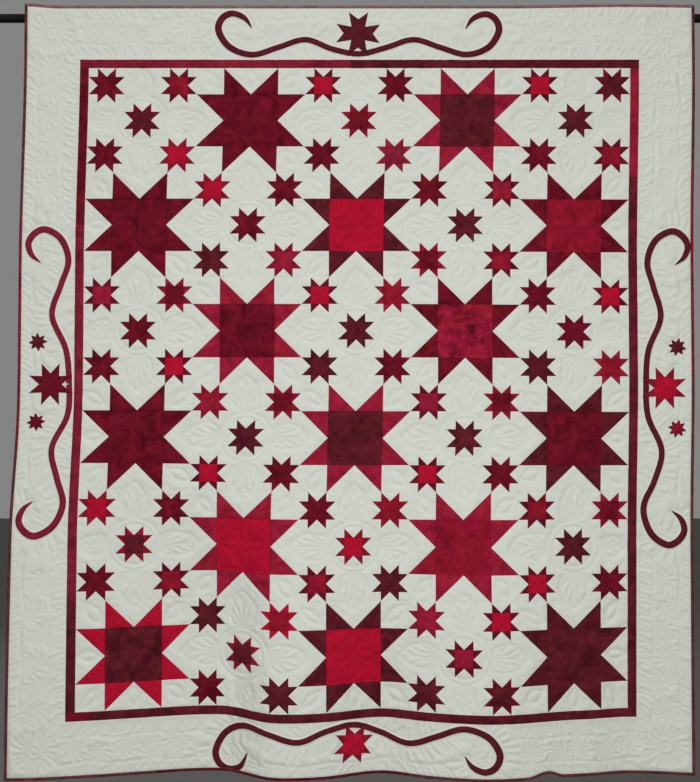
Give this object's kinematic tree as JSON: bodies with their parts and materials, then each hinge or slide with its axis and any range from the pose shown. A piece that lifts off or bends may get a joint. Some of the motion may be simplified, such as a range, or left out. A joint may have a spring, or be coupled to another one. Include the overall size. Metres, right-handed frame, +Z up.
{
  "type": "quilt on a rod",
  "caption": "Pieced star quilt with a scrolled border, hanging in soft folds from a plain rod through a sleeve on its back.",
  "frame": {"origin": "on the rod's axis, midway along the rod, where the rod is held up", "axes": "+Z up, +X to the viewer's right along the rod, and the quilt's face towards -Y"},
  "size_m": [2.112, 0.0771, 2.166],
  "materials": {
    "quilted_cotton": "matte quilted cotton, white with wine and crimson patches",
    "binding_cotton": "matte crimson cotton",
    "wine_cotton": "matte mottled wine cotton",
    "crimson_cotton": "matte mottled crimson cotton",
    "backing_cotton": "matte plain cotton",
    "rod_paint": "satin black paint"
  },
  "bodies": {
    "root": {"quilt": "quilted_cotton", "binding_top": "binding_cotton", "binding_bottom": "binding_cotton", "binding_left": "binding_cotton", "binding_right": "binding_cotton", "scroll_top": "wine_cotton", "scroll_bottom": "wine_cotton", "scroll_left": "crimson_cotton", "scroll_right": "wine_cotton", "star_top": "wine_cotton", "star_bottom": "crimson_cotton", "star_left": "wine_cotton", "star_right": "crimson_cotton", "star_left_upper": "wine_cotton", "star_left_lower": "wine_cotton", "star_right_upper": "wine_cotton", "star_right_lower": "wine_cotton", "sleeve": "backing_cotton", "rod": "rod_paint"}
  },
  "joints": []
}
